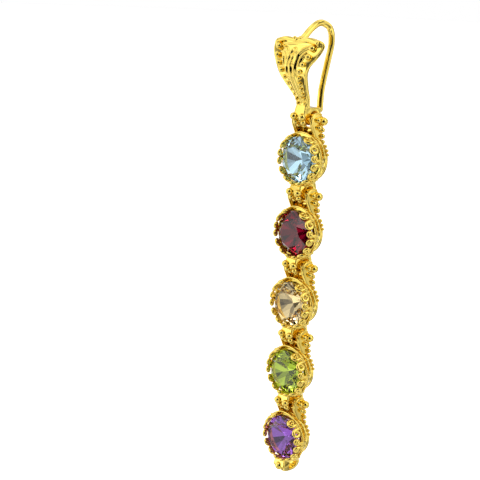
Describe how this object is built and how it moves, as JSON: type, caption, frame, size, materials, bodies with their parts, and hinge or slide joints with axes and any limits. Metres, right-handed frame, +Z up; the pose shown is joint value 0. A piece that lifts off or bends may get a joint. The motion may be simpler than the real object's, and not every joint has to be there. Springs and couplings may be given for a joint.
{
  "type": "drop earring",
  "caption": "Long drop earring: a fan-shaped ear hook over a chain of round stones in scrolled settings, hinged one below the other.",
  "frame": {"origin": "the inside of the ear wire's top, where the wire rests in the ear", "axes": "+Z up along the hanging earring, -Y to the front that the stones face, +X across it"},
  "size_m": [0.0086, 0.0079, 0.0617],
  "materials": {
    "gold": "polished",
    "sky_blue_stone": "faceted and polished",
    "dark_red_stone": "faceted and polished",
    "champagne_stone": "faceted and polished",
    "green_stone": "faceted and polished",
    "purple_stone": "faceted and polished"
  },
  "bodies": {
    "hook": {"ear_hook": "gold"},
    "link_1": {"setting_1": "gold", "stone_1": "sky_blue_stone"},
    "link_2": {"setting_2": "gold", "stone_2": "dark_red_stone"},
    "link_3": {"setting_3": "gold", "stone_3": "champagne_stone"},
    "link_4": {"setting_4": "gold", "stone_4": "green_stone"},
    "link_5": {"setting_5": "gold", "stone_5": "purple_stone"}
  },
  "joints": [
    {"name": "hinge_1", "type": "hinge", "parent": "hook", "child": "link_1", "pos_m": [0, -0.0014, -0.01115], "axis": [1, 0, 0], "range_deg": [-30, 45]},
    {"name": "hinge_2", "type": "hinge", "parent": "link_1", "child": "link_2", "pos_m": [0, -0.0014, -0.02087], "axis": [1, 0, 0], "range_deg": [-30, 45]},
    {"name": "hinge_3", "type": "hinge", "parent": "link_2", "child": "link_3", "pos_m": [0, -0.0014, -0.03059], "axis": [1, 0, 0], "range_deg": [-30, 45]},
    {"name": "hinge_4", "type": "hinge", "parent": "link_3", "child": "link_4", "pos_m": [0, -0.0014, -0.04031], "axis": [1, 0, 0], "range_deg": [-30, 45]},
    {"name": "hinge_5", "type": "hinge", "parent": "link_4", "child": "link_5", "pos_m": [0, -0.0014, -0.05003], "axis": [1, 0, 0], "range_deg": [-30, 45]}
  ]
}
